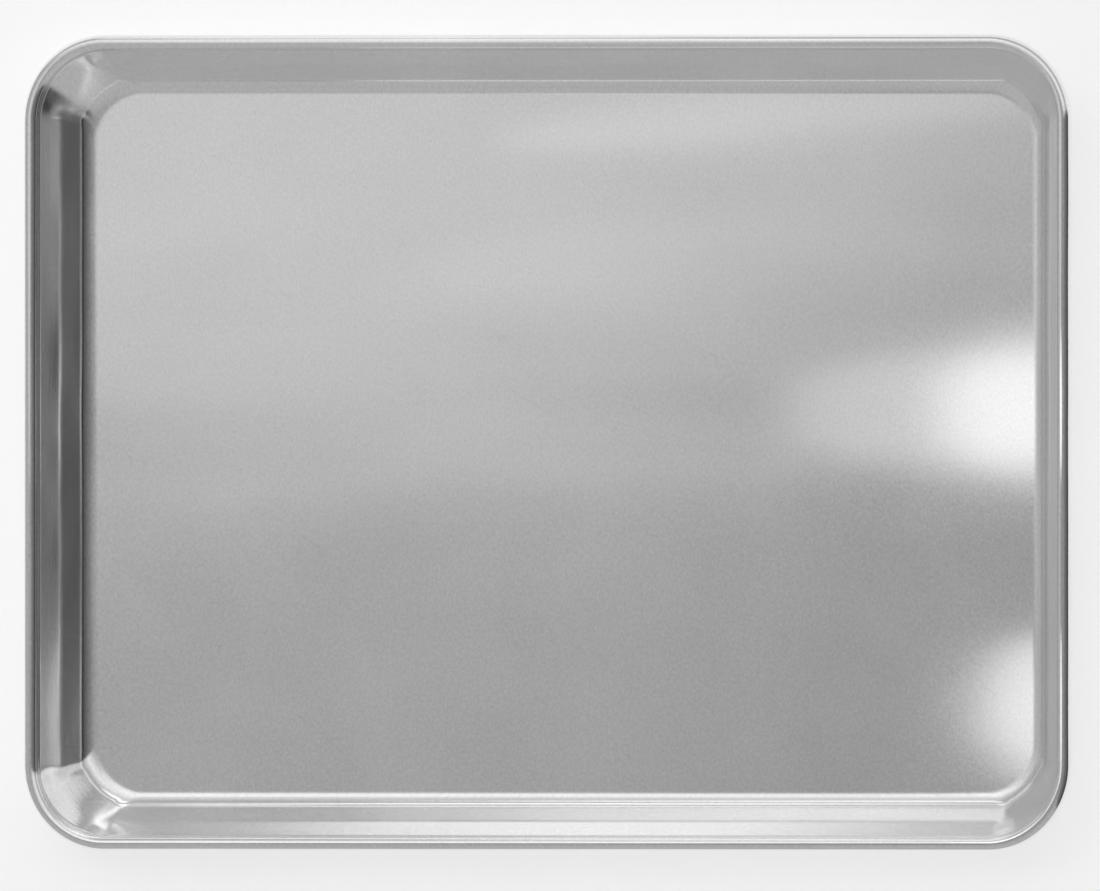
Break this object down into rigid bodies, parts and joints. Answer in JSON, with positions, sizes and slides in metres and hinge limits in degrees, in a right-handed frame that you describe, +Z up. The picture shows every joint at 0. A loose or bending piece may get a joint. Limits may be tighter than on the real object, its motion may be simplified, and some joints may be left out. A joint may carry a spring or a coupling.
{
  "type": "jelly roll pan",
  "caption": "Shallow rectangular baking pan of satin aluminium sheet, with a flat floor, flared walls, round corners and a rim rolled over a steel wire.",
  "frame": {"origin": "middle of the underside, on the surface that the pan stands on", "axes": "+X along the long side, +Y along the short side, +Z up out of the pan"},
  "size_m": [0.45, 0.33, 0.0254],
  "materials": {
    "pan_sheet": "satin mill finish with a fine rolled grain",
    "wire_steel": "galvanised drawn wire"
  },
  "bodies": {
    "root": {"pan": "pan_sheet", "rim_wire": "wire_steel"}
  },
  "joints": []
}
